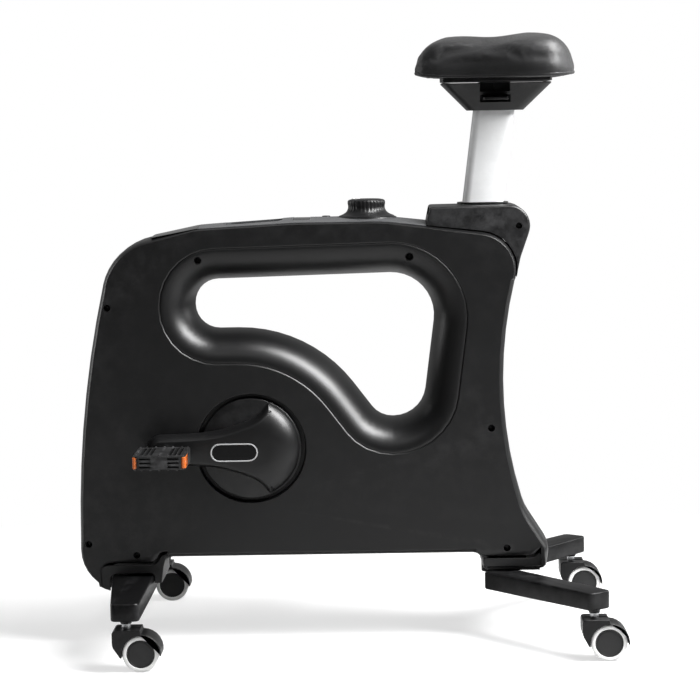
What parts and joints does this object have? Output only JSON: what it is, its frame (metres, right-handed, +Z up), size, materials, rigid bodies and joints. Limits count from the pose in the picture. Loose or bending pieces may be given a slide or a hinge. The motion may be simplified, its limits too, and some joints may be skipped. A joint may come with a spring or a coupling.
{
  "type": "desk exercise bike",
  "caption": "Low desk exercise bike: slim body with a grip window, cranks and pedals, knob, height-adjusting saddle and a wheeled base.",
  "frame": {"origin": "middle of the floor area that the bike covers, at floor level", "axes": "+Z up; -X towards the front, where the rider faces; -Y the rider's left"},
  "size_m": [0.8497, 0.58, 0.9449],
  "materials": {
    "satin_black": "satin moulded plastic with a fine grain",
    "console_grey": "satin grey moulded plastic",
    "gloss_black": "polished black plastic",
    "steel": "zinc plated steel",
    "black_paint": "satin black powder coat",
    "silver_paint": "smooth silver paint",
    "saddle_leather": "black synthetic leather with a soft sheen",
    "belt_rubber": "matt black rubber",
    "wheel_tread": "white tread on a dark grey disc",
    "amber": "amber reflector",
    "cast_iron": "turned cast iron"
  },
  "bodies": {
    "frame_body": {"left_shell": "satin_black", "right_shell": "satin_black", "console_panel": "console_grey", "console_trim": "gloss_black", "rear_cap": "satin_black", "post_collar": "satin_black", "display_lens": "gloss_black", "knob_ring": "satin_black", "main_frame": "black_paint", "front_crossbar": "black_paint", "rear_leg_left": "black_paint", "rear_leg_right": "black_paint", "front_bolt_left": "steel", "front_bolt_right": "steel", "rear_bolt_left": "steel", "rear_bolt_right": "steel", "crank_bearing_left": "steel", "crank_bearing_right": "steel", "drive_belt": "belt_rubber", "brake_cable": "belt_rubber", "gas_rod": "steel"},
    "crank_set": {"crank_spindle": "steel", "drive_pulley": "satin_black", "crank_arm_left": "steel", "crank_arm_right": "steel", "crank_cover_left": "satin_black", "crank_cover_right": "satin_black", "pedal_spindle_left": "steel", "pedal_spindle_right": "steel"},
    "left_pedal": {"pedal_left": "satin_black", "pedal_reflector_left_front": "amber", "pedal_reflector_left_rear": "amber"},
    "right_pedal": {"pedal_right": "satin_black", "pedal_reflector_right_front": "amber", "pedal_reflector_right_rear": "amber"},
    "flywheel_set": {"flywheel": "cast_iron", "flywheel_axle": "steel"},
    "knob": {"resistance_knob": "satin_black"},
    "magnet": {"magnet_bracket": "black_paint"},
    "button": {"mode_button": "satin_black"},
    "seat": {"seat_post": "silver_paint", "gas_cylinder": "black_paint", "seat_clamp": "black_paint", "clamp_bolt": "steel", "saddle_base": "satin_black", "saddle_cushion": "saddle_leather", "seat_shroud": "satin_black"},
    "lever": {"release_lever": "satin_black"},
    "hood_front_left": {"caster_hood_front_left": "satin_black"},
    "wheel_front_left_inner": {"caster_wheel_front_left_inner": "wheel_tread"},
    "wheel_front_left_outer": {"caster_wheel_front_left_outer": "wheel_tread"},
    "hood_front_right": {"caster_hood_front_right": "satin_black"},
    "wheel_front_right_inner": {"caster_wheel_front_right_inner": "wheel_tread"},
    "wheel_front_right_outer": {"caster_wheel_front_right_outer": "wheel_tread"},
    "hood_rear_left": {"caster_hood_rear_left": "satin_black"},
    "wheel_rear_left_inner": {"caster_wheel_rear_left_inner": "wheel_tread"},
    "wheel_rear_left_outer": {"caster_wheel_rear_left_outer": "wheel_tread"},
    "hood_rear_right": {"caster_hood_rear_right": "satin_black"},
    "wheel_rear_right_inner": {"caster_wheel_rear_right_inner": "wheel_tread"},
    "wheel_rear_right_outer": {"caster_wheel_rear_right_outer": "wheel_tread"}
  },
  "joints": [
    {"name": "crank_spin", "type": "hinge", "parent": "frame_body", "child": "crank_set", "pos_m": [-0.1514, 0, 0.306], "axis": [0, 1, 0], "continuous": true},
    {"name": "left_pedal_spin", "type": "hinge", "parent": "crank_set", "child": "left_pedal", "pos_m": [-0.2824, -0.171, 0.306], "axis": [0, 1, 0], "continuous": true},
    {"name": "right_pedal_spin", "type": "hinge", "parent": "crank_set", "child": "right_pedal", "pos_m": [-0.0204, 0.171, 0.306], "axis": [0, 1, 0], "continuous": true},
    {"name": "flywheel_spin", "type": "hinge", "parent": "frame_body", "child": "flywheel_set", "pos_m": [0.09, 0, 0.226], "axis": [0, 1, 0], "continuous": true},
    {"name": "knob_turn", "type": "hinge", "parent": "frame_body", "child": "knob", "pos_m": [0.0353, 0, 0.665], "axis": [0, 0, 1], "range_deg": [0, 270]},
    {"name": "magnet_swing", "type": "hinge", "parent": "frame_body", "child": "magnet", "pos_m": [-0.00176, -0.04, 0.25059], "axis": [0, 1, 0], "range_deg": [0, 1.5]},
    {"name": "button_press", "type": "slide", "parent": "frame_body", "child": "button", "axis": [0, 0, -1], "range_m": [0, 0.0012], "stiffness_N_per_m": 400, "springref_m": -0.0008},
    {"name": "seat_slide", "type": "slide", "parent": "frame_body", "child": "seat", "axis": [0.1297, 0, 0.9916], "range_m": [-0.12, 0.08]},
    {"name": "lever_lift", "type": "hinge", "parent": "seat", "child": "lever", "pos_m": [0.2395, -0.028, 0.846], "axis": [-1, 0, 0], "range_deg": [0, 10], "stiffness_Nm_per_rad": 0.4, "springref_deg": -11.46},
    {"name": "swivel_front_left", "type": "hinge", "parent": "frame_body", "child": "hood_front_left", "pos_m": [-0.33345, -0.265, 0.075], "axis": [0, 0, 1], "continuous": true},
    {"name": "roll_front_left_inner", "type": "hinge", "parent": "hood_front_left", "child": "wheel_front_left_inner", "pos_m": [-0.31075, -0.2518, 0.0275], "axis": [0, 1, 0], "continuous": true},
    {"name": "roll_front_left_outer", "type": "hinge", "parent": "hood_front_left", "child": "wheel_front_left_outer", "pos_m": [-0.31075, -0.2782, 0.0275], "axis": [0, 1, 0], "continuous": true},
    {"name": "swivel_front_right", "type": "hinge", "parent": "frame_body", "child": "hood_front_right", "pos_m": [-0.33345, 0.265, 0.075], "axis": [0, 0, 1], "continuous": true},
    {"name": "roll_front_right_inner", "type": "hinge", "parent": "hood_front_right", "child": "wheel_front_right_inner", "pos_m": [-0.31075, 0.2518, 0.0275], "axis": [0, 1, 0], "continuous": true},
    {"name": "roll_front_right_outer", "type": "hinge", "parent": "hood_front_right", "child": "wheel_front_right_outer", "pos_m": [-0.31075, 0.2782, 0.0275], "axis": [0, 1, 0], "continuous": true},
    {"name": "swivel_rear_left", "type": "hinge", "parent": "frame_body", "child": "hood_rear_left", "pos_m": [0.371, -0.234, 0.075], "axis": [0, 0, 1], "continuous": true},
    {"name": "roll_rear_left_inner", "type": "hinge", "parent": "hood_rear_left", "child": "wheel_rear_left_inner", "pos_m": [0.3918, -0.2208, 0.0275], "axis": [0, 1, 0], "continuous": true},
    {"name": "roll_rear_left_outer", "type": "hinge", "parent": "hood_rear_left", "child": "wheel_rear_left_outer", "pos_m": [0.3918, -0.2472, 0.0275], "axis": [0, 1, 0], "continuous": true},
    {"name": "swivel_rear_right", "type": "hinge", "parent": "frame_body", "child": "hood_rear_right", "pos_m": [0.371, 0.234, 0.075], "axis": [0, 0, 1], "continuous": true},
    {"name": "roll_rear_right_inner", "type": "hinge", "parent": "hood_rear_right", "child": "wheel_rear_right_inner", "pos_m": [0.3918, 0.2208, 0.0275], "axis": [0, 1, 0], "continuous": true},
    {"name": "roll_rear_right_outer", "type": "hinge", "parent": "hood_rear_right", "child": "wheel_rear_right_outer", "pos_m": [0.3918, 0.2472, 0.0275], "axis": [0, 1, 0], "continuous": true}
  ],
  "couplings": [
    {"joint": "flywheel_spin", "follows": "crank_spin", "ratio": 3.6},
    {"joint": "magnet_swing", "follows": "knob_turn", "ratio": 0.005556}
  ]
}
